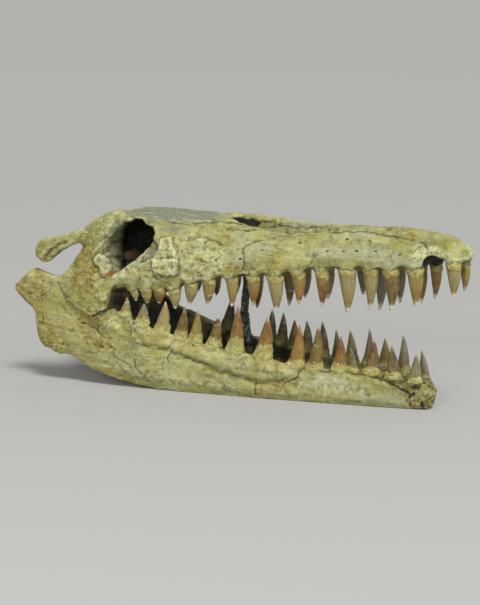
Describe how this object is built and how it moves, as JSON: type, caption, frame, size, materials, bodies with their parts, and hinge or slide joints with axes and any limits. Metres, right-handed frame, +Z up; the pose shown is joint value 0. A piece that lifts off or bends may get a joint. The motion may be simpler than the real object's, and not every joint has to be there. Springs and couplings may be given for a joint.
{
  "type": "fossil mosasaur skull",
  "caption": "Fossil skull of a large marine reptile, jaws held open by a column of matrix, with pointed teeth in both jaws; it rests on its lower jaws.",
  "frame": {"origin": "on the surface the skull rests on, under the middle of its bounding box", "axes": "+X to the tip of the snout, -Y to the animal's right side, +Z up"},
  "size_m": [0.6726, 0.2035, 0.2562],
  "materials": {
    "fossil_bone": "dry, pitted and cracked",
    "tooth_enamel": "glossy crowns on dull bone bases",
    "dark_matrix": "dark and glossy, with white specks"
  },
  "bodies": {
    "root": {"cranium": "fossil_bone", "right_mandible": "fossil_bone", "left_mandible": "fossil_bone", "matrix_pillar": "dark_matrix", "upper_right_tooth_01": "tooth_enamel", "upper_right_tooth_02": "tooth_enamel", "upper_right_tooth_03": "tooth_enamel", "upper_right_tooth_04": "tooth_enamel", "upper_right_tooth_05": "tooth_enamel", "upper_right_tooth_06": "tooth_enamel", "upper_right_tooth_07": "tooth_enamel", "upper_right_tooth_08": "tooth_enamel", "upper_right_tooth_09": "tooth_enamel", "upper_right_tooth_10": "tooth_enamel", "upper_right_tooth_11": "tooth_enamel", "upper_right_tooth_12": "tooth_enamel", "upper_right_tooth_13": "tooth_enamel", "upper_right_tooth_14": "tooth_enamel", "upper_right_tooth_15": "tooth_enamel", "upper_right_tooth_16": "tooth_enamel", "upper_left_tooth_01": "tooth_enamel", "upper_left_tooth_02": "tooth_enamel", "upper_left_tooth_03": "tooth_enamel", "upper_left_tooth_04": "tooth_enamel", "upper_left_tooth_05": "tooth_enamel", "upper_left_tooth_06": "tooth_enamel", "upper_left_tooth_07": "tooth_enamel", "upper_left_tooth_08": "tooth_enamel", "upper_left_tooth_09": "tooth_enamel", "upper_left_tooth_10": "tooth_enamel", "upper_left_tooth_11": "tooth_enamel", "upper_left_tooth_12": "tooth_enamel", "upper_left_tooth_13": "tooth_enamel", "lower_right_tooth_01": "tooth_enamel", "lower_right_tooth_02": "tooth_enamel", "lower_right_tooth_03": "tooth_enamel", "lower_right_tooth_04": "tooth_enamel", "lower_right_tooth_05": "tooth_enamel", "lower_right_tooth_06": "tooth_enamel", "lower_right_tooth_07": "tooth_enamel", "lower_right_tooth_08": "tooth_enamel", "lower_right_tooth_09": "tooth_enamel", "lower_right_tooth_10": "tooth_enamel", "lower_right_tooth_11": "tooth_enamel", "lower_right_tooth_12": "tooth_enamel", "lower_right_tooth_13": "tooth_enamel", "lower_right_tooth_14": "tooth_enamel", "lower_right_tooth_15": "tooth_enamel", "lower_left_tooth_01": "tooth_enamel", "lower_left_tooth_02": "tooth_enamel", "lower_left_tooth_03": "tooth_enamel", "lower_left_tooth_04": "tooth_enamel", "lower_left_tooth_05": "tooth_enamel", "lower_left_tooth_06": "tooth_enamel", "lower_left_tooth_07": "tooth_enamel", "lower_left_tooth_08": "tooth_enamel", "lower_left_tooth_09": "tooth_enamel", "lower_left_tooth_10": "tooth_enamel", "lower_left_tooth_11": "tooth_enamel", "lower_left_tooth_12": "tooth_enamel"}
  },
  "joints": []
}
